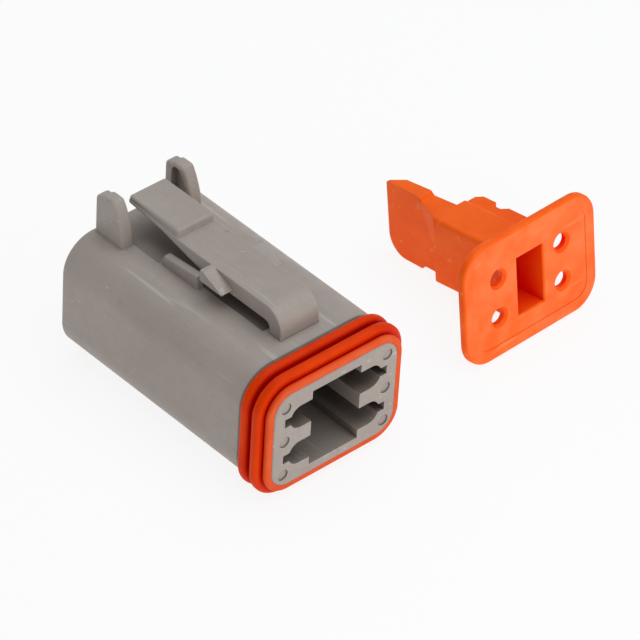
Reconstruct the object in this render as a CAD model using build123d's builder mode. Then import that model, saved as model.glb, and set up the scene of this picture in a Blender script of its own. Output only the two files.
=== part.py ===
"""Four-way sealed plug connector: housing, press latch, interface seal, wire grommet, loose wedge lock.

Millimetres. Origin at the centre of the nose face, +X is the mating direction, +Z is the latch side.
"""
import os
from math import acos, atan2, cos, hypot, radians, sin

from build123d import *

os.makedirs("parts", exist_ok=True)

# contact layout, which sets the size of the housing, the grommet and the wedge lock
PITCH_Y = 11.9
PITCH_Z = 5.92

# housing shell
BODY_LEN = 39.7
BODY_R = 5.0
BODY_EDGE = 0.5
SHOULDER_Y = 1.35
SHOULDER_Z = 1.5
SHOULDER_EDGE = 0.3
GATE_R = 0.9
GATE_DEPTH = 0.15
GATE_X = 17.0

# nose that carries the interface seal
SEAT_X = 4.7
NOSE_WALL_Y = 4.5
NOSE_WALL_Z = 4.44
NOSE_R = 3.0
NOSE_EDGE = 0.25

# nose opening: wedge slot, contact lobes and their keyways
SLOT_W = 8.3
SLOT_WALL = 1.38
SLOT_FLOOR = 4.6
LOBE_R = 1.79
LOBE_DEPTH = 15.0
KEY_REACH = 0.92
KEY_H = 1.35
KEY_DEPTH = 9.0
CAVITY_R = 1.6
DISC_R = 0.85
DISC_DEPTH = 0.2
DISC_INSET_Y = 1.87
DISC_INSET_Z = 1.98

# rear pocket and grommet
RIM_WALL = 1.5
GROMMET_INSET = 1.0
GROMMET_LEN = 7.1
WIRE_R = 1.2
WIRE_FLARE = 0.45
COLLAR_R = 2.15
COLLAR_H = 0.55
COLLAR_EDGE = 0.2
GROMMET_EDGE = 0.4

# latch arm, heights are above the housing top
HINGE_X = 8.4
KNUCKLE_R = 1.1
KNUCKLE_GAP = 0.06
ARM_W = 6.5
ARM_TOP = 4.04
ARM_UNDER = 1.62
ARM_BEND_R = 3.0
ARM_EDGE = 0.15
GAP_END_R = 0.85
ARM_TAPER_LEN = 9.0
ARM_THIN_LEN = 6.6
ARM_THIN = 3.65
TAIL_RISE = 0.65
TAIL_T = 0.4
PAD_SETBACK = 2.7
PAD_LEN = 9.9
PAD_INSET = 0.15
PAD_RISE = 1.2
PAD_CORNER = 0.5
PAD_EDGE = 0.4
PAD_LEAN = 0.3
BARB_GAP = 6.35
BARB_LEN = 4.2
BARB_FLAT = 0.7
BARB_OUT = 1.85
BARB_H = 1.65
BARB_TIP = 0.12

# guards on the housing top
TROUGH_DEPTH = 0.35
TROUGH_STOP = 1.8
RAIL_IN = 0.36
RAIL_T = 1.1
RAIL_LAP = 1.7
RAIL_LEN = 7.2
RAIL_H = 2.2
RAIL_H_REAR = 1.65
RAIL_RAMP = 0.8
RAIL_EDGE = 0.2
EAR_GAP = 1.6
EAR_T = 2.0
EAR_SETBACK = 0.55
EAR_LEN = 5.55
EAR_TOP = 6.45
EAR_LEDGE = 0.45
EAR_LEDGE_LEN = 1.1
EAR_CROWN = 3.4
EAR_BULGE = 0.5
EAR_CORNER = 0.7
EAR_EDGE = 0.45
SCOOP_T = 1.1
SCOOP_FLAT = 0.1
SCOOP_REAR = 1.35
SCOOP_R = 1.0

# interface seal, heights are above the nose surface
SEAL_FRONT = 0.12
SEAL_BASE = 0.5
RIB_H = 1.95
RIB_T = 1.45
RIB_ROUND = 0.62
RIB_2_X = 1.78
RIB_GAP = 0.69
LIP_GAP = 0.14
LIP_H = 0.95
LIP_ROUND = 0.28

# wedge lock, whose stem fits the slot of the nose
PLATE_OVER_Y = 1.85
PLATE_OVER_Z = 1.5
PLATE_R = 4.2
PLATE_T = 1.2
PLATE_EDGE = 0.45
PANEL_INSET = 1.9
PANEL_STEP = 0.07
PORT_R = 1.15
PORT_FLARE = 0.42
KEYHOLE_W = 4.8
KEYHOLE_H = 8.8
KEYHOLE_FLOOR = 5.2
KEYHOLE_EDGE = 0.2
BLOCK_PLAY_Y = 0.9
BLOCK_PLAY_Z = 0.97
BLOCK_EDGE = 0.6
BLADE_PLAY_X = 2.5
BLADE_PLAY_Z = 1.02
BLADE_W = 2.9
BLADE_FREE = 11.0
BLADE_NOSE_R = 3.2
TIP_W = 1.8
TIP_ROUND = 0.5
TIP_SLANT = 2.1
TIP_RISE = 0.6
TIP_LEN = 6.4
GUSSET_LEN = 6.2
GUSSET_SINK = 0.08
GUSSET_INSET = 0.2
GUSSET_H = 8.5
GUSSET_FADE = 0.25
WING_OUT = 2.3
WING_INSET = 0.35
WING_H = 0.6
WING_NOTCH = 0.8
WING_NOTCH_SET = 4.7
WEDGE_X = -4.36
WEDGE_Y = 38.75
WEDGE_YAW = 1.9

# length by which a shape runs into, or a cut runs out of, its neighbour
LAP = 0.3
CUT = 1.0

# how near two places or sizes count as the same when a face or edge is picked
NEAR = 0.01

# derived sizes and positions
NOSE_W = PITCH_Y + 2 * NOSE_WALL_Y
NOSE_H = PITCH_Z + 2 * NOSE_WALL_Z
BODY_W = NOSE_W + 2 * SHOULDER_Y
BODY_H = NOSE_H + 2 * SHOULDER_Z
BODY_TOP = BODY_H / 2
FLOOR_Z = -(NOSE_H / 2 + RIB_H)
CONTACTS = [(sy * PITCH_Y / 2, sz * PITCH_Z / 2) for sy in (-1, 1) for sz in (-1, 1)]
DISC_Y = NOSE_W / 2 - DISC_INSET_Y
DISC_Z = NOSE_H / 2 - DISC_INSET_Z
DISCS = [(sy * DISC_Y, sz * DISC_Z) for sy in (-1, 1) for sz in (-1, 0, 1)]
POCKET_W = BODY_W - 2 * RIM_WALL
POCKET_H = BODY_H - 2 * RIM_WALL
POCKET_R = BODY_R - RIM_WALL
GROMMET_REAR = BODY_LEN - GROMMET_INSET
GROMMET_FRONT = GROMMET_REAR - GROMMET_LEN
SLOT_H = NOSE_H - 2 * SLOT_WALL
SLOT_DEPTH = GROMMET_FRONT - SLOT_FLOOR

ARM_Z = BODY_TOP + ARM_TOP
UNDER_Z = BODY_TOP + ARM_UNDER
THIN_Z = BODY_TOP + ARM_THIN
PAD_Z = ARM_Z + PAD_RISE
PAD_W = ARM_W - 2 * PAD_INSET
PAD_REAR = BODY_LEN - PAD_SETBACK
PAD_FRONT = PAD_REAR - PAD_LEN
ARM_THIN_X = PAD_REAR - ARM_THIN_LEN
ARM_TAPER_X = ARM_THIN_X - ARM_TAPER_LEN
BARB_REAR = PAD_FRONT - BARB_GAP
RAIL_REAR = PAD_FRONT + RAIL_LAP
RAIL_FRONT = RAIL_REAR - RAIL_LEN
TROUGH_END = HINGE_X + TROUGH_STOP
EAR_IN = ARM_W / 2 + EAR_GAP
EAR_Z = BODY_TOP + EAR_TOP
EAR_REAR = BODY_LEN - EAR_SETBACK
EAR_FOOT = EAR_REAR - EAR_LEN
EAR_CROWN_X = -EAR_REAR + EAR_CROWN
SCOOP_RIM = EAR_EDGE + SCOOP_FLAT

RIB_1_X = RIB_2_X + RIB_T + RIB_GAP
LIP_T = RIB_2_X - RIB_T / 2 - LIP_GAP - SEAL_FRONT

PLATE_W = NOSE_W + 2 * PLATE_OVER_Y
PLATE_H = NOSE_H + 2 * PLATE_OVER_Z
BLADE_LEN = SLOT_DEPTH + PLATE_T - BLADE_PLAY_X
BLADE_H = SLOT_H - 2 * BLADE_PLAY_Z
TIP_H = BLADE_H + 2 * TIP_RISE
BLOCK_LEN = BLADE_LEN - BLADE_FREE
BLADE_SLOPE = (BLADE_W - TIP_W) / 2 / (BLADE_FREE + CUT)
BLOCK_W = SLOT_W - 2 * BLOCK_PLAY_Y
BLOCK_H = SLOT_H - 2 * BLOCK_PLAY_Z
KEYHOLE_DEPTH = BLOCK_LEN - KEYHOLE_FLOOR
GUSSET_TOP = BLADE_H / 2
GUSSET_OUT = (BLOCK_W - BLADE_W) / 2 - GUSSET_INSET
WING_TOP = BLOCK_H / 2 - WING_INSET
WING_NOTCH_X = BLOCK_LEN - WING_NOTCH_SET


# housing: shell, nose, rear pocket, nose opening, guards and the seat of the latch root
with BuildPart() as plug_housing:
    with BuildSketch(Plane.YZ.offset(-BODY_LEN)):
        RectangleRounded(BODY_W, BODY_H, BODY_R)
    extrude(amount=BODY_LEN - SEAT_X)
    fillet(plug_housing.faces().sort_by(Axis.X)[-1].edges(), SHOULDER_EDGE)
    fillet(plug_housing.faces().sort_by(Axis.X)[0].edges(), BODY_EDGE)

    # nose with a broken front edge
    with BuildSketch(Plane.YZ.offset(-SEAT_X)):
        RectangleRounded(NOSE_W, NOSE_H, NOSE_R)
    extrude(amount=SEAT_X)
    fillet(plug_housing.faces().sort_by(Axis.X)[-1].edges(), NOSE_EDGE)

    # shallow trough under the latch arm, between the ears and, further forward, between the rails
    with BuildSketch(Plane.XY.offset(BODY_TOP)):
        with Locations((-(BODY_LEN + RAIL_REAR) / 2, 0)):
            Rectangle(BODY_LEN - RAIL_REAR, 2 * EAR_IN)
        with Locations((-(BODY_LEN + TROUGH_END) / 2, 0)):
            Rectangle(BODY_LEN - TROUGH_END, ARM_W + 2 * RAIL_IN)
    extrude(amount=-TROUGH_DEPTH, mode=Mode.SUBTRACT)

    # rails either side of the arm, low at the rear
    for side in (-1, 1):
        with BuildSketch(Plane.XZ.offset(-side * (ARM_W / 2 + RAIL_IN))):
            with BuildLine():
                Polyline(
                    (-RAIL_FRONT, BODY_TOP - CUT),
                    (-RAIL_FRONT, BODY_TOP + RAIL_H),
                    (-RAIL_REAR + RAIL_RAMP, BODY_TOP + RAIL_H_REAR),
                    (-RAIL_REAR, BODY_TOP),
                    (-RAIL_REAR, BODY_TOP - CUT),
                    close=True,
                )
            make_face()
        rail = extrude(amount=-side * RAIL_T, mode=Mode.PRIVATE)
        add(rail.fillet(RAIL_EDGE, rail.edges().filter_by_position(Axis.Z, BODY_TOP + LAP, EAR_Z)))

    # finger guard ears: a low ledge at the rear, a crown, and a bulging front slope
    for side in (-1, 1):
        with BuildSketch(Plane.XZ.offset(-side * EAR_IN)) as ear_side:
            with BuildLine():
                Polyline(
                    (-EAR_FOOT, BODY_TOP),
                    (-EAR_FOOT, BODY_TOP - CUT),
                    (-EAR_REAR, BODY_TOP - CUT),
                    (-EAR_REAR, EAR_Z - EAR_LEDGE),
                    (-EAR_REAR + EAR_LEDGE_LEN, EAR_Z - EAR_LEDGE),
                    (-EAR_REAR + EAR_LEDGE_LEN + EAR_LEDGE, EAR_Z),
                    (EAR_CROWN_X, EAR_Z),
                )
                ThreePointArc(
                    (EAR_CROWN_X, EAR_Z),
                    ((EAR_CROWN_X - EAR_FOOT) / 2 + EAR_BULGE, BODY_TOP + EAR_TOP / 2),
                    (-EAR_FOOT, BODY_TOP),
                )
            make_face()
            fillet(ear_side.vertices().filter_by_position(Axis.Y, BODY_TOP + LAP, EAR_Z), EAR_CORNER)
        ear = extrude(amount=-side * EAR_T, mode=Mode.PRIVATE)
        rim = ear.faces().filter_by(Plane.XZ).edges()
        add(ear.fillet(EAR_EDGE, rim.filter_by_position(Axis.Z, BODY_TOP + LAP, EAR_Z)))

        # arched scoop in the inner face
        with BuildSketch(Plane.XZ.offset(-side * EAR_IN)) as scoop:
            with BuildLine():
                Polyline(
                    (-EAR_FOOT - SCOOP_RIM, BODY_TOP),
                    (-EAR_FOOT - SCOOP_RIM, BODY_TOP - TROUGH_DEPTH),
                    (-EAR_REAR + SCOOP_REAR, BODY_TOP - TROUGH_DEPTH),
                    (-EAR_REAR + SCOOP_REAR, EAR_Z - SCOOP_RIM),
                    (EAR_CROWN_X - SCOOP_RIM, EAR_Z - SCOOP_RIM),
                )
                ThreePointArc(
                    (EAR_CROWN_X - SCOOP_RIM, EAR_Z - SCOOP_RIM),
                    ((EAR_CROWN_X - EAR_FOOT) / 2 + EAR_BULGE - SCOOP_RIM, BODY_TOP + EAR_TOP / 2),
                    (-EAR_FOOT - SCOOP_RIM, BODY_TOP),
                )
            make_face()
            fillet(scoop.vertices().filter_by_position(Axis.Y, BODY_TOP + LAP, EAR_Z), SCOOP_R)
        extrude(amount=-side * SCOOP_T, mode=Mode.SUBTRACT)

    # half-round seat of the latch root
    with BuildSketch(Plane.XZ):
        with Locations((-HINGE_X, BODY_TOP)):
            Circle(KNUCKLE_R + KNUCKLE_GAP)
    extrude(amount=ARM_W / 2 + KNUCKLE_GAP, both=True, mode=Mode.SUBTRACT)

    # wedge slot
    with BuildSketch(Plane.YZ):
        Rectangle(SLOT_W, SLOT_H)
    extrude(amount=-SLOT_DEPTH, mode=Mode.SUBTRACT)

    # contact lobes open to the slot
    with BuildSketch(Plane.YZ):
        with Locations(*CONTACTS):
            Circle(LOBE_R)
        with Locations((0, PITCH_Z / 2), (0, -PITCH_Z / 2)):
            Rectangle(PITCH_Y, 2 * LOBE_R)
    extrude(amount=-LOBE_DEPTH, mode=Mode.SUBTRACT)

    # keyways at the outer side of each lobe
    with BuildSketch(Plane.YZ):
        with Locations((0, PITCH_Z / 2), (0, -PITCH_Z / 2)):
            Rectangle(PITCH_Y + 2 * LOBE_R + 2 * KEY_REACH, KEY_H)
    extrude(amount=-KEY_DEPTH, mode=Mode.SUBTRACT)

    # contact cavities through to the rear pocket
    with BuildSketch(Plane.YZ):
        with Locations(*CONTACTS):
            Circle(CAVITY_R)
    extrude(amount=-BODY_LEN, mode=Mode.SUBTRACT)

    # rear pocket that holds the grommet
    with BuildSketch(Plane.YZ.offset(-BODY_LEN)):
        RectangleRounded(POCKET_W, POCKET_H, POCKET_R)
    extrude(amount=BODY_LEN - GROMMET_FRONT, mode=Mode.SUBTRACT)

    # shallow moulding discs in the nose face
    with BuildSketch(Plane.YZ):
        with Locations(*DISCS):
            Circle(DISC_R)
    extrude(amount=-DISC_DEPTH, mode=Mode.SUBTRACT)

    # recessed gate mark on the underside
    with BuildSketch(Plane.XY.offset(-BODY_TOP)):
        with Locations((-GATE_X, 0)):
            Circle(GATE_R)
    extrude(amount=GATE_DEPTH, mode=Mode.SUBTRACT)

plug_housing.part.label = "plug_housing"
export_step(plug_housing.part, "parts/plug_housing.step")


# latch arm: root, bent arm, thumb pad and two barbs
with BuildPart() as latch_arm:
    with BuildSketch(Plane.XZ):
        with BuildLine():
            Polyline(
                (-HINGE_X + KNUCKLE_R, BODY_TOP),
                (-HINGE_X + KNUCKLE_R, ARM_Z),
                (-PAD_FRONT, ARM_Z),
                (-PAD_REAR, ARM_Z + TAIL_RISE),
                (-PAD_REAR, ARM_Z + TAIL_RISE - TAIL_T),
                (-ARM_THIN_X, THIN_Z),
                (-ARM_TAPER_X, UNDER_Z),
                (-HINGE_X - KNUCKLE_R, UNDER_Z),
                (-HINGE_X - KNUCKLE_R, BODY_TOP),
                close=True,
            )
        make_face()
    extrude(amount=ARM_W / 2, both=True)
    lateral = latch_arm.edges().filter_by(Axis.Y)
    bend = lateral.sort_by_distance((-HINGE_X + KNUCKLE_R, 0, ARM_Z))[0]
    fillet(bend, ARM_BEND_R)
    lateral = latch_arm.edges().filter_by(Axis.Y)
    crotch = lateral.sort_by_distance((-HINGE_X - KNUCKLE_R, 0, UNDER_Z))[0]
    fillet(crotch, GAP_END_R)
    fillet(latch_arm.edges().filter_by(Axis.Z).group_by(Axis.X)[0], PAD_CORNER)
    sides = latch_arm.faces().filter_by(Plane.XZ).edges()
    fillet(sides.filter_by_position(Axis.Z, BODY_TOP + LAP, PAD_Z), ARM_EDGE)

    # round root that turns in the housing seat
    with BuildSketch(Plane.XZ):
        with Locations((-HINGE_X, BODY_TOP)):
            Circle(KNUCKLE_R)
    extrude(amount=ARM_W / 2, both=True)

    # barbs that catch the mating half
    for side in (-1, 1):
        with BuildSketch(Plane.XZ.offset(-side * (ARM_W / 2 - LAP))):
            with BuildLine():
                Polyline(
                    (-BARB_REAR, ARM_Z),
                    (-BARB_REAR + BARB_FLAT, ARM_Z),
                    (-BARB_REAR + BARB_LEN, ARM_Z - BARB_H + BARB_TIP),
                    (-BARB_REAR + BARB_LEN, ARM_Z - BARB_H),
                    (-BARB_REAR, ARM_Z - BARB_H),
                    close=True,
                )
            make_face()
        extrude(amount=-side * (BARB_OUT + LAP))

    # thumb pad
    with BuildSketch(Plane.XZ):
        with BuildLine():
            Polyline(
                (-PAD_FRONT, ARM_Z - LAP),
                (-PAD_FRONT - PAD_LEAN, PAD_Z),
                (-PAD_REAR, PAD_Z),
                (-PAD_REAR, ARM_Z + TAIL_RISE - LAP),
                close=True,
            )
        make_face()
    pad = extrude(amount=PAD_W / 2, both=True, mode=Mode.PRIVATE)
    corners = pad.edges().filter_by(lambda edge: abs(edge.tangent_at(0).Z) > 0.5)
    pad = pad.fillet(PAD_CORNER, corners)
    add(pad.fillet(PAD_EDGE, pad.faces().sort_by(Axis.Z)[-1].edges()))

latch_arm.part.label = "latch_arm"
export_step(latch_arm.part, "parts/latch_arm.step")


# interface seal: sleeve with two ribs and a front lip
with BuildPart() as interface_seal:
    with BuildSketch(Plane.YZ.offset(-SEAT_X)):
        RectangleRounded(NOSE_W + 2 * SEAL_BASE, NOSE_H + 2 * SEAL_BASE, NOSE_R + SEAL_BASE)
    extrude(amount=SEAT_X - SEAL_FRONT)
    for centre, rise, thick, soft in (
        (RIB_1_X, RIB_H, RIB_T, RIB_ROUND),
        (RIB_2_X, RIB_H, RIB_T, RIB_ROUND),
        (SEAL_FRONT + LIP_T / 2, LIP_H, LIP_T, LIP_ROUND),
    ):
        with BuildSketch(Plane.YZ.offset(-centre - thick / 2)):
            RectangleRounded(NOSE_W + 2 * rise, NOSE_H + 2 * rise, NOSE_R + rise)
        extrude(amount=thick)
        for flank_x in (-centre - thick / 2, -centre + thick / 2):
            flanks = interface_seal.faces().filter_by(Plane.YZ)
            flanks = flanks.filter_by_position(Axis.X, flank_x - NEAR, flank_x + NEAR)
            fillet(flanks.sort_by(SortBy.AREA)[-1].outer_wire().edges(), soft)
    with BuildSketch(Plane.YZ.offset(-SEAT_X)):
        RectangleRounded(NOSE_W, NOSE_H, NOSE_R)
    extrude(amount=SEAT_X, mode=Mode.SUBTRACT)

interface_seal.part.label = "interface_seal"
export_step(interface_seal.part, "parts/interface_seal.step")


# wire grommet: soft block with four collared wire holes
with BuildPart() as wire_grommet:
    with BuildSketch(Plane.YZ.offset(-GROMMET_REAR)):
        RectangleRounded(POCKET_W, POCKET_H, POCKET_R)
    extrude(amount=GROMMET_REAR - GROMMET_FRONT)
    fillet(wire_grommet.faces().sort_by(Axis.X)[0].edges(), GROMMET_EDGE)
    with BuildSketch(Plane.YZ.offset(-GROMMET_REAR)):
        with Locations(*CONTACTS):
            Circle(COLLAR_R)
    extrude(amount=-COLLAR_H)
    fillet(wire_grommet.faces().filter_by(Plane.YZ).group_by(Axis.X)[0].edges(), COLLAR_EDGE)
    with BuildSketch(Plane.YZ.offset(-GROMMET_REAR - COLLAR_H)):
        with Locations(*CONTACTS):
            Circle(WIRE_R)
    extrude(amount=GROMMET_REAR + COLLAR_H - GROMMET_FRONT, mode=Mode.SUBTRACT)
    mouths = wire_grommet.edges().filter_by(GeomType.CIRCLE).group_by(Axis.X)[0]
    chamfer(mouths.filter_by(lambda edge: abs(edge.radius - WIRE_R) < NEAR), WIRE_FLARE)

wire_grommet.part.label = "wire_grommet"
export_step(wire_grommet.part, "parts/wire_grommet.step")


# wedge lock: flanged plate and stem, lying on its plate edge and stem tip
REST_RISE = (PLATE_H - TIP_H) / 2 + BLADE_NOSE_R
REST_RUN = BLADE_LEN - BLADE_NOSE_R - PLATE_T
LEAN = acos(BLADE_NOSE_R / hypot(REST_RISE, REST_RUN)) - atan2(REST_RUN, REST_RISE)
YAW = radians(WEDGE_YAW)
WEDGE_AT = (WEDGE_X, WEDGE_Y, FLOOR_Z + PLATE_H / 2 * cos(LEAN) + PLATE_T * sin(LEAN))
WEDGE_OUT = (cos(LEAN) * cos(YAW), cos(LEAN) * sin(YAW), sin(LEAN))
WEDGE_SIDE = (-sin(YAW), cos(YAW), 0)
WEDGE_BACK = (sin(YAW), -cos(YAW), 0)
ACROSS = Plane(origin=WEDGE_AT, x_dir=WEDGE_SIDE, z_dir=WEDGE_OUT)
ALONG = Plane(origin=WEDGE_AT, x_dir=WEDGE_OUT, z_dir=WEDGE_BACK)
OVER = Plane(origin=WEDGE_AT, x_dir=WEDGE_OUT, z_dir=ACROSS.y_dir)
STEM = Axis(WEDGE_AT, WEDGE_OUT)

with BuildPart() as wedge_lock:
    with BuildSketch(ACROSS.offset(-PLATE_T)):
        RectangleRounded(PLATE_W, PLATE_H, PLATE_R)
    extrude(amount=PLATE_T)
    fillet(wedge_lock.faces().sort_by(STEM)[-1].edges(), PLATE_EDGE)
    fillet(wedge_lock.faces().sort_by(STEM)[0].edges(), PLATE_EDGE / 2)

    # shallow panel let into the plate face
    with BuildSketch(ACROSS):
        RectangleRounded(PLATE_W - 2 * PANEL_INSET, PLATE_H - 2 * PANEL_INSET, PLATE_R - PANEL_INSET)
    extrude(amount=-PANEL_STEP, mode=Mode.SUBTRACT)

    # stem block behind the plate
    with BuildSketch(ACROSS.offset(-BLOCK_LEN)):
        RectangleRounded(BLOCK_W, BLOCK_H, BLOCK_EDGE)
    extrude(amount=BLOCK_LEN - PLATE_T / 2)

    # blade with a raised land above and below its tip and a round lower corner
    with BuildSketch(ALONG) as blade_side:
        with BuildLine():
            Polyline(
                (-BLOCK_LEN + CUT, -BLADE_H / 2),
                (-BLADE_LEN + TIP_LEN + TIP_RISE, -BLADE_H / 2),
                (-BLADE_LEN + TIP_LEN, -TIP_H / 2),
                (-BLADE_LEN, -TIP_H / 2),
                (-BLADE_LEN, TIP_H / 2),
                (-BLADE_LEN + TIP_LEN, TIP_H / 2),
                (-BLADE_LEN + TIP_LEN + TIP_RISE, BLADE_H / 2),
                (-BLOCK_LEN + CUT, BLADE_H / 2),
                close=True,
            )
        make_face()
        fillet(blade_side.vertices().group_by(Axis.X)[0].sort_by(Axis.Y)[0], BLADE_NOSE_R)
        fillet(blade_side.vertices().group_by(Axis.X)[0].sort_by(Axis.Y)[-1], TIP_ROUND)
    tall = extrude(amount=BLADE_W, both=True, mode=Mode.PRIVATE)

    # trimmed to a plan that narrows to a slanted tip
    with BuildSketch(OVER):
        with BuildLine():
            Polyline(
                (-BLOCK_LEN + CUT, -BLADE_W / 2),
                (-BLADE_LEN, -TIP_W / 2),
                (-BLADE_LEN + TIP_SLANT, TIP_W / 2),
                (-BLOCK_LEN + CUT, BLADE_W / 2),
                close=True,
            )
        make_face()
    add(tall & extrude(amount=TIP_H, both=True, mode=Mode.PRIVATE))

    # gusset that sweeps from the blade out to the block's near flank, fading towards the bottom
    for height, share in ((GUSSET_TOP, 1), (GUSSET_TOP - GUSSET_H, GUSSET_FADE)):
        start_x = -BLOCK_LEN - share * GUSSET_LEN
        start_y = -BLADE_W / 2 + BLADE_SLOPE * (share * GUSSET_LEN + CUT) + GUSSET_SINK
        end_y = -BLADE_W / 2 - share * GUSSET_OUT
        with BuildSketch(OVER.offset(height)):
            with BuildLine():
                TangentArc((start_x, start_y), (-BLOCK_LEN, end_y), tangent=(1, -BLADE_SLOPE))
                Polyline(
                    (-BLOCK_LEN, end_y),
                    (-BLOCK_LEN + LAP, end_y),
                    (-BLOCK_LEN + LAP, 0),
                    (start_x, 0),
                    (start_x, start_y),
                )
            make_face()
    loft()

    # thin side wing that rides along the top of an upper lobe, clear of the contact
    with BuildSketch(OVER.offset(WING_TOP)):
        with BuildLine():
            Polyline(
                (-PLATE_T / 2, BLOCK_W / 2 - LAP),
                (-BLOCK_LEN, BLOCK_W / 2 - LAP),
                (-BLOCK_LEN, BLOCK_W / 2 + WING_OUT - WING_NOTCH),
                (-BLOCK_LEN + WING_NOTCH, BLOCK_W / 2 + WING_OUT),
                (-WING_NOTCH_X - 2 * WING_NOTCH, BLOCK_W / 2 + WING_OUT),
                (-WING_NOTCH_X - WING_NOTCH, BLOCK_W / 2 + WING_OUT - WING_NOTCH),
                (-WING_NOTCH_X, BLOCK_W / 2 + WING_OUT - WING_NOTCH),
                (-WING_NOTCH_X + WING_NOTCH, BLOCK_W / 2 + WING_OUT),
                (-PLATE_T / 2, BLOCK_W / 2 + WING_OUT),
                close=True,
            )
        make_face()
    extrude(amount=-WING_H)

    # extraction keyhole
    with BuildSketch(ACROSS):
        Rectangle(KEYHOLE_W, KEYHOLE_H)
    extrude(amount=-KEYHOLE_DEPTH, mode=Mode.SUBTRACT)
    with BuildSketch(ACROSS.offset(-PANEL_STEP)):
        Rectangle(KEYHOLE_W + 2 * KEYHOLE_EDGE, KEYHOLE_H + 2 * KEYHOLE_EDGE)
    extrude(amount=-KEYHOLE_EDGE, taper=45, mode=Mode.SUBTRACT)

    # contact ports with a lead-in
    with BuildSketch(ACROSS):
        with Locations(*CONTACTS):
            Circle(PORT_R)
    extrude(amount=-PLATE_T, mode=Mode.SUBTRACT)
    rims = wedge_lock.edges().filter_by(GeomType.CIRCLE)
    rims = rims.filter_by(lambda edge: abs(edge.radius - PORT_R) < 0.01)
    chamfer(rims.group_by(STEM)[-1], PORT_FLARE)

wedge_lock.part.label = "wedge_lock"
export_step(wedge_lock.part, "parts/wedge_lock.step")
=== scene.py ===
from math import cos, radians, sin

import bpy
from mathutils import Matrix, Vector


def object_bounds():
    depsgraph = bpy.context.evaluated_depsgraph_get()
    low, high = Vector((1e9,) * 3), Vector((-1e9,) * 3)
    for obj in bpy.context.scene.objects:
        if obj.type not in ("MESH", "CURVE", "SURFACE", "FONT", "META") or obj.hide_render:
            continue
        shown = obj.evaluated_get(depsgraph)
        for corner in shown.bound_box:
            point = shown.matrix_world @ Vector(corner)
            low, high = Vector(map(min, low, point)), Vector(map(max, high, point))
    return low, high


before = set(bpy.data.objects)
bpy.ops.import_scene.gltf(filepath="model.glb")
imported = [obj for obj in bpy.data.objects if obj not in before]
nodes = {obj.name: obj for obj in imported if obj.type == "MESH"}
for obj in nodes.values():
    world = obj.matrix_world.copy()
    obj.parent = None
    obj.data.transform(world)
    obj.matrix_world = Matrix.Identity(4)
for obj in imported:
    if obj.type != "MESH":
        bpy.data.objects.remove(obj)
cad_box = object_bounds()

# heights, places along the part and widths of the marks on it, in metres
DECK_Z = 0.0089
TROUGH_Z = 0.00855
LIP_BACK = 0.0005
SEAT_BACK = 0.0047
# width of the painted shadow line behind the seal
SEAM_SHADE = 0.0006
FADE = 0.0001

# cosine between the rounded and the plain normal, on a flat face and at an edge
FLAT_COSINE, EDGE_COSINE = 0.995, 0.86
BEVEL_SAMPLES = 6
OPENNESS_SAMPLES = 8

# floor and light: the floor lies a hair below the part's lowest point
FLOOR_Z = cad_box[0][2] - 0.00002
FLOOR_HALF = 2
FLOOR_WHITE = 0.8
FLOOR_GLOW = 0.88
FLOOR_LIFT = 0.56
FILL_LOW, FILL_HIGH = 0.03, 0.64
FILL_FULL_AT = 0.9
AIM = (-0.015, 0.018, 0.0)

# camera: angles in degrees, distances in metres, the sensor's width in millimetres
AZIMUTH, ELEVATION, ROLL = 45.245, 40.029, 3.787
DISTANCE = 0.63038
NEAREST = 0.05
SENSOR = 36

# the photograph's width, focal length and offsets, in its pixels
FRAME_PX, FOCAL_PX = 640, 5000.0
OFF_X, OFF_Y = 15.14, 94.63


def srgb(r, g, b):
    """A colour written in 0-255 screen values, as the linear colour a shader takes."""
    def lin(v):
        v = v / 255
        return v / 12.92 if v <= 0.04045 else ((v + 0.055) / 1.055) ** 2.4
    return (lin(r), lin(g), lin(b), 1.0)


def feed(tree, value, socket):
    """Links a socket to another node's output, or sets it where the value is a constant."""
    if isinstance(value, bpy.types.NodeSocket):
        tree.links.new(value, socket)
    else:
        socket.default_value = value


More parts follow.
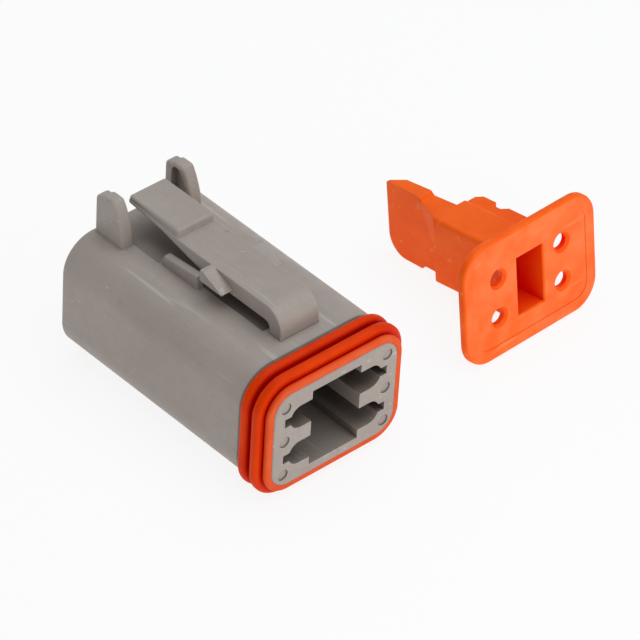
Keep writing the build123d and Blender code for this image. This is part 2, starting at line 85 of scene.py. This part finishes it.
class Graph:
    """A material's node tree, with short names for the nodes that the finishes share."""

    def __init__(self, name):
        self.mat = bpy.data.materials.new(name)
        self.mat.use_nodes = True
        self.tree = self.mat.node_tree
        self.tree.nodes.clear()
        out = self.add("ShaderNodeOutputMaterial")
        self.bsdf = self.add("ShaderNodeBsdfPrincipled")
        self.link(self.bsdf.outputs["BSDF"], out.inputs["Surface"])
        place = self.add("ShaderNodeTexCoord")
        self.coords = place.outputs["Object"]
        self.facing = place.outputs["Normal"]

    def add(self, kind, **settings):
        node = self.tree.nodes.new(kind)
        for key, value in settings.items():
            setattr(node, key, value)
        return node

    def link(self, a, b):
        self.tree.links.new(a, b)

    def axis(self, name, vector):
        node = self.add("ShaderNodeSeparateXYZ")
        self.link(vector, node.inputs[0])
        return node.outputs[name]

    def stretch(self, scale, turn=(0, 0, 0)):
        """The object's coordinates, scaled and turned: a scale below 1 lengthens marks on that axis."""
        node = self.add("ShaderNodeMapping")
        self.link(self.coords, node.inputs["Vector"])
        node.inputs["Scale"].default_value = scale
        node.inputs["Rotation"].default_value = turn
        return node.outputs["Vector"]

    def noise(self, size, detail=2.0, rough=0.5, vector=None):
        """Noise whose features are about size metres across."""
        node = self.add("ShaderNodeTexNoise")
        self.link(vector or self.coords, node.inputs["Vector"])
        node.inputs["Scale"].default_value = 1 / size
        node.inputs["Detail"].default_value = detail
        node.inputs["Roughness"].default_value = rough
        return node.outputs[0]

    def remap(self, value, low, high, to_low=0.0, to_high=1.0):
        node = self.add("ShaderNodeMapRange", clamp=True)
        self.link(value, node.inputs["Value"])
        node.inputs["From Min"].default_value = low
        node.inputs["From Max"].default_value = high
        node.inputs["To Min"].default_value = to_low
        node.inputs["To Max"].default_value = to_high
        return node.outputs["Result"]

    def math(self, how, a, b):
        node = self.add("ShaderNodeMath", operation=how)
        feed(self.tree, a, node.inputs[0])
        feed(self.tree, b, node.inputs[1])
        return node.outputs[0]

    def times(self, a, b):
        return self.math("MULTIPLY", a, b)

    def mix(self, amount, a, b):
        node = self.add("ShaderNodeMix", data_type="RGBA")
        feed(self.tree, amount, node.inputs[0])
        feed(self.tree, a, node.inputs[6])
        feed(self.tree, b, node.inputs[7])
        return node.outputs[2]

    def tint(self, base, mask, low, high, amount, colour):
        """Lays colour over base, from nothing where mask is low up to amount where it is high."""
        return self.mix(self.remap(mask, low, high, 0.0, amount), base, colour)

    def openness(self, reach, local=True):
        """Low deep in a recess, 1 where the surface lies open, looking as far as reach metres."""
        node = self.add("ShaderNodeAmbientOcclusion", samples=OPENNESS_SAMPLES, only_local=local)
        node.inputs["Distance"].default_value = reach
        return node.outputs["AO"]

    def soft_edges(self, radius):
        """Rounded-edge normal, and a mask that is 1 on the outward edges it rounds."""
        bevel = self.add("ShaderNodeBevel", samples=BEVEL_SAMPLES)
        bevel.inputs["Radius"].default_value = radius
        plain = self.add("ShaderNodeNewGeometry")
        dot = self.add("ShaderNodeVectorMath", operation="DOT_PRODUCT")
        self.link(bevel.outputs["Normal"], dot.inputs[0])
        self.link(plain.outputs["Normal"], dot.inputs[1])
        edges = self.remap(dot.outputs["Value"], FLAT_COSINE, EDGE_COSINE)
        outward = self.remap(self.openness(4 * radius), 0.55, 0.85)
        return bevel.outputs["Normal"], self.times(edges, outward)

    def bump(self, height, depth, normal):
        """The normal with a relief of depth metres laid on it."""
        node = self.add("ShaderNodeBump")
        node.inputs["Strength"].default_value = 1.0
        node.inputs["Distance"].default_value = depth
        self.link(height, node.inputs["Height"])
        self.link(normal, node.inputs["Normal"])
        return node.outputs["Normal"]

    def finish(self, base, roughness, specular, normal):
        """Gives the shader its finish, and returns the material."""
        self.link(base, self.bsdf.inputs["Base Color"])
        self.link(roughness, self.bsdf.inputs["Roughness"])
        self.bsdf.inputs["Specular IOR Level"].default_value = specular
        self.link(normal, self.bsdf.inputs["Normal"])
        return self.mat


def painted_shade_mask(g):
    """Where shade is painted on the grey: in its openings, in the trough under the latch, and as a
    shadow line behind the seal.
    """
    height = g.axis("Z", g.coords)
    along = g.axis("X", g.coords)
    openness = g.openness(0.012)
    below_deck = g.remap(height, DECK_Z - FADE, DECK_Z - 2 * FADE)
    in_openings = g.times(below_deck, g.remap(openness, 0.15, 0.82, 0.9, 0.0))
    above_trough = g.remap(height, TROUGH_Z - 2 * FADE, TROUGH_Z - FADE)
    under_latch = g.remap(g.openness(0.008, local=False), 0.25, 0.8, 0.65, 0.0)
    in_trough = g.times(g.times(above_trough, below_deck), under_latch)
    near_seal = g.remap(along, -SEAT_BACK - SEAM_SHADE, -SEAT_BACK - SEAM_SHADE / 2, 0.0, 0.75)
    behind_seat = g.remap(along, -SEAT_BACK + 2 * FADE, -SEAT_BACK + FADE)
    outside = g.remap(openness, 0.85, 0.95)
    behind_seal = g.times(g.times(near_seal, behind_seat), outside)
    return g.math("MAXIMUM", g.math("MAXIMUM", in_openings, in_trough), behind_seal)


def moulded_grey():
    """Warm grey filled plastic: fine grain, tone drift, draw lines, scuffs, rubbed edges with a painted
    highlight, painted shade in its recesses.
    """
    g = Graph("moulded_grey")
    edge_normal, edges = g.soft_edges(0.00017)
    drift = g.noise(0.016)
    blotch = g.noise(0.0018, 3.0, 0.6)
    grain = g.noise(0.00014, 2.0, 0.6)
    drawn = g.noise(0.0005, vector=g.stretch((0.03, 1.0, 1.0)))
    fleck = g.noise(0.0006, 0.0)
    scuff = g.noise(0.0012, 1.0, vector=g.stretch((0.08, 1.0, 1.6), (0.1, 0.05, 0.2)))
    stain = g.noise(0.0012, 1.0, vector=g.stretch((1.0, 0.8, 0.25)))
    rub_and_highlight = g.remap(g.noise(0.0010), 0.35, 0.65, 0.35, 0.85)
    base = g.mix(g.remap(drift, 0.3, 0.7), srgb(148, 137, 130), srgb(157, 147, 140))
    base = g.tint(base, blotch, 0.35, 0.7, 0.32, srgb(142, 131, 124))
    base = g.tint(base, drawn, 0.45, 0.75, 0.12, srgb(174, 166, 158))
    base = g.tint(base, grain, 0.4, 0.75, 0.16, srgb(174, 166, 159))
    base = g.tint(base, fleck, 0.84, 0.87, 0.35, srgb(194, 187, 179))
    base = g.tint(base, scuff, 0.68, 0.76, 0.40, srgb(188, 181, 173))
    base = g.tint(base, stain, 0.73, 0.79, 0.28, srgb(110, 100, 94))
    # paler outward edges: partly wear, partly a painted highlight
    base = g.mix(g.times(edges, rub_and_highlight), base, srgb(204, 197, 189))
    # painted shade: near-black brown laid in the openings, the trough under the latch and the line
    # behind the seal
    base = g.mix(painted_shade_mask(g), base, srgb(44, 30, 12))
    relief = g.bump(grain, 0.000010, edge_normal)
    relief = g.bump(blotch, 0.000010, relief)
    return g.finish(base, g.remap(blotch, 0.3, 0.7, 0.44, 0.58), 0.35, relief)


def silicone(name, light, deep, painted_highlight, smoothest):
    """Silicone rubber: painted redder shade in its grooves, faint flow bands, dust on its skin, a
    painted highlight on its front lip and edges.
    """
    g = Graph(name)
    edge_normal, edges = g.soft_edges(0.00010)
    drift = g.noise(0.006)
    flow = g.noise(0.0012, 3.0, 0.6, g.stretch((1.0, 0.45, 0.45)))
    skin = g.noise(0.00022, 2.0, 0.6)
    dust = g.noise(0.0004, 0.0)
    lip = g.remap(g.axis("X", g.coords), -LIP_BACK - 2 * FADE, -LIP_BACK)
    groove_shade = g.remap(g.openness(0.0030), 0.3, 0.98, 0.9, 0.0)
    base = g.mix(g.remap(drift, 0.3, 0.7), light, deep)
    base = g.tint(base, flow, 0.35, 0.75, 0.3, deep)
    # painted highlight: a paler band on the lip's front
    base = g.mix(g.times(lip, g.remap(flow, 0.3, 0.7, 0.35, 0.85)), base, painted_highlight)
    base = g.tint(base, dust, 0.83, 0.86, 0.30, srgb(236, 132, 92))
    # painted highlight along the rounded edges
    base = g.mix(g.times(edges, 0.25), base, painted_highlight)
    # painted shade: deep red laid in the grooves between the ribs
    base = g.mix(groove_shade, base, srgb(196, 4, 0))
    relief = g.bump(flow, 0.000030, edge_normal)
    relief = g.bump(skin, 0.000006, relief)
    return g.finish(base, g.remap(flow, 0.3, 0.75, smoothest, smoothest + 0.16), 0.05, relief)


def moulded_orange():
    """Bright orange moulding: satin skin, flow marks, painted light on the front face, scratches, a
    painted highlight on the edges, painted shade in the hollows.
    """
    g = Graph("moulded_orange")
    edge_normal, edges = g.soft_edges(0.00018)
    drift = g.noise(0.010)
    flow = g.noise(0.0026, 3.0, 0.55, g.stretch((0.5, 1.0, 1.0), (0.0, 0.4, 0.0)))
    grain = g.noise(0.00018, 2.0, 0.6)
    scratch = g.noise(0.0010, 1.0, vector=g.stretch((1.0, 0.12, 0.8), (0.5, 0.0, 0.0)))
    front = g.remap(g.axis("X", g.facing), 0.80, 0.95)
    painted_light = g.remap(g.noise(0.005, 3.0, 0.6), 0.35, 0.65, 0.06, 0.40)
    hollow_shade = g.remap(g.openness(0.006), 0.38, 0.8, 0.95, 0.0)
    base = g.mix(g.remap(drift, 0.3, 0.7), srgb(244, 91, 12), srgb(249, 103, 22))
    base = g.tint(base, flow, 0.35, 0.7, 0.6, srgb(238, 82, 8))
    base = g.tint(base, grain, 0.4, 0.75, 0.14, srgb(250, 122, 46))
    # painted light: the faces looking along +X made paler in patches
    base = g.mix(g.times(front, painted_light), base, srgb(250, 142, 92))
    base = g.tint(base, scratch, 0.68, 0.76, 0.35, srgb(253, 150, 88))
    # painted highlight along the rounded edges
    base = g.mix(g.times(edges, 0.6), base, srgb(254, 146, 54))
    # painted shade: deep red laid in the hollows
    base = g.mix(hollow_shade, base, srgb(244, 2, 0))
    relief = g.bump(flow, 0.000020, edge_normal)
    relief = g.bump(grain, 0.000008, relief)
    return g.finish(base, g.remap(flow, 0.3, 0.7, 0.40, 0.54), 0.10, relief)


def dress(node, material):
    mesh = nodes[node].data
    mesh.materials.clear()
    mesh.materials.append(material)


def seen_directly(tree):
    """1 for rays that show the background itself: camera, glossy and transmission rays."""
    path = tree.nodes.new("ShaderNodeLightPath")
    either = path.outputs["Is Camera Ray"]
    for kind in ("Is Glossy Ray", "Is Transmission Ray"):
        node = tree.nodes.new("ShaderNodeMath")
        node.operation = "MAXIMUM"
        tree.links.new(either, node.inputs[0])
        tree.links.new(path.outputs[kind], node.inputs[1])
        either = node.outputs[0]
    return either


def blend(tree, amount, a, b):
    node = tree.nodes.new("ShaderNodeMixShader")
    feed(tree, amount, node.inputs[0])
    tree.links.new(a.outputs[0], node.inputs[1])
    tree.links.new(b.outputs[0], node.inputs[2])
    return node


def source(tree, kind, colour, strength):
    """A node that gives light: an emission or a background."""
    node = tree.nodes.new(kind)
    node.inputs["Color"].default_value = (*colour, 1)
    feed(tree, strength, node.inputs["Strength"])
    return node


def paper():
    """White to the eye with the soft shadow kept, and light thrown back up onto the part."""
    mat = bpy.data.materials.new("paper")
    mat.use_nodes = True
    tree = mat.node_tree
    tree.nodes.clear()
    glow = source(tree, "ShaderNodeEmission", (1, 1, 1), 1.0)
    matte = tree.nodes.new("ShaderNodeBsdfDiffuse")
    matte.inputs["Color"].default_value = (FLOOR_WHITE, FLOOR_WHITE, FLOOR_WHITE, 1)
    lift = source(tree, "ShaderNodeEmission", (1.0, 0.97, 0.94), FLOOR_LIFT)
    bounce = tree.nodes.new("ShaderNodeAddShader")
    tree.links.new(matte.outputs[0], bounce.inputs[0])
    tree.links.new(lift.outputs[0], bounce.inputs[1])
    sheet = blend(tree, seen_directly(tree), bounce, blend(tree, FLOOR_GLOW, matte, glow))
    out = tree.nodes.new("ShaderNodeOutputMaterial")
    tree.links.new(sheet.outputs[0], out.inputs["Surface"])
    return mat


def lay_floor():
    corners = ((-1, -1), (1, -1), (1, 1), (-1, 1))
    mesh = bpy.data.meshes.new("floor")
    mesh.from_pydata([(x * FLOOR_HALF, y * FLOOR_HALF, FLOOR_Z) for x, y in corners], [], [(0, 1, 2, 3)])
    mesh.materials.append(paper())
    sheet = bpy.data.objects.new("floor", mesh)
    bpy.context.scene.collection.objects.link(sheet)
    return sheet


def studio():
    """A world that is white to the eye and lights the part more from above than from the horizon."""
    world = bpy.data.worlds.new("studio")
    world.use_nodes = True
    tree = world.node_tree
    tree.nodes.clear()
    direction = tree.nodes.new("ShaderNodeSeparateXYZ")
    tree.links.new(tree.nodes.new("ShaderNodeTexCoord").outputs["Generated"], direction.inputs[0])
    rise = tree.nodes.new("ShaderNodeMapRange")
    rise.inputs["From Max"].default_value = FILL_FULL_AT
    rise.inputs["To Min"].default_value = FILL_LOW
    rise.inputs["To Max"].default_value = FILL_HIGH
    tree.links.new(direction.outputs["Z"], rise.inputs["Value"])
    fill = source(tree, "ShaderNodeBackground", (0.96, 0.98, 1.0), rise.outputs["Result"])
    white = source(tree, "ShaderNodeBackground", (1, 1, 1), 1.0)
    sight = blend(tree, seen_directly(tree), fill, white)
    out = tree.nodes.new("ShaderNodeOutputWorld")
    tree.links.new(sight.outputs[0], out.inputs["Surface"])
    return world


def softbox(name, place, size, power, colour):
    """A square lamp that points at the part."""
    lamp = bpy.data.lights.new(name, "AREA")
    lamp.shape = "RECTANGLE"
    lamp.size = size
    lamp.size_y = size
    lamp.energy = power
    lamp.color = colour
    box = bpy.data.objects.new(name, lamp)
    box.location = place
    box.rotation_euler = (Vector(AIM) - Vector(place)).to_track_quat("-Z", "Y").to_euler()
    bpy.context.scene.collection.objects.link(box)


def photo_camera():
    """A camera at the photograph's angle, turned a little so that the part lies where it does there."""
    azimuth, elevation, roll = radians(AZIMUTH), radians(ELEVATION), radians(ROLL)
    back = Vector((sin(azimuth) * cos(elevation), -cos(azimuth) * cos(elevation), sin(elevation)))
    right = Vector((cos(azimuth), sin(azimuth), 0))
    up = back.cross(right)
    right, up = cos(roll) * right + sin(roll) * up, cos(roll) * up - sin(roll) * right
    place = back * DISTANCE
    back = (back + right * (OFF_X / FOCAL_PX) - up * (OFF_Y / FOCAL_PX)).normalized()
    right = (right - back * right.dot(back)).normalized()
    up = back.cross(right)
    lens = bpy.data.cameras.new("camera")
    lens.sensor_width = SENSOR
    lens.lens = SENSOR * FOCAL_PX / FRAME_PX
    lens.clip_start = NEAREST
    camera = bpy.data.objects.new("camera", lens)
    camera.matrix_world = Matrix.Translation(place) @ Matrix((right, up, back)).transposed().to_4x4()
    bpy.context.scene.collection.objects.link(camera)
    return camera


grey = moulded_grey()
dress("plug_housing", grey)
dress("latch_arm", grey)
dress("interface_seal", silicone("seal_silicone", light=srgb(218, 62, 1), deep=srgb(203, 45, 0),
                                 painted_highlight=srgb(218, 97, 52), smoothest=0.28))
dress("wire_grommet", silicone("grommet_silicone", light=srgb(222, 62, 10), deep=srgb(206, 50, 6),
                               painted_highlight=srgb(226, 92, 48), smoothest=0.44))
dress("wedge_lock", moulded_orange())

floor = lay_floor()
bpy.context.scene.world = studio()
softbox("key", place=(0.16, 0.02, 0.06), size=0.14, power=0.120, colour=(1.0, 0.98, 0.95))
softbox("top", place=(0.00, 0.09, 0.40), size=0.46, power=1.00, colour=(0.92, 0.98, 1.0))
bpy.context.scene.camera = photo_camera()
bpy.context.scene.view_settings.view_transform = "Standard"
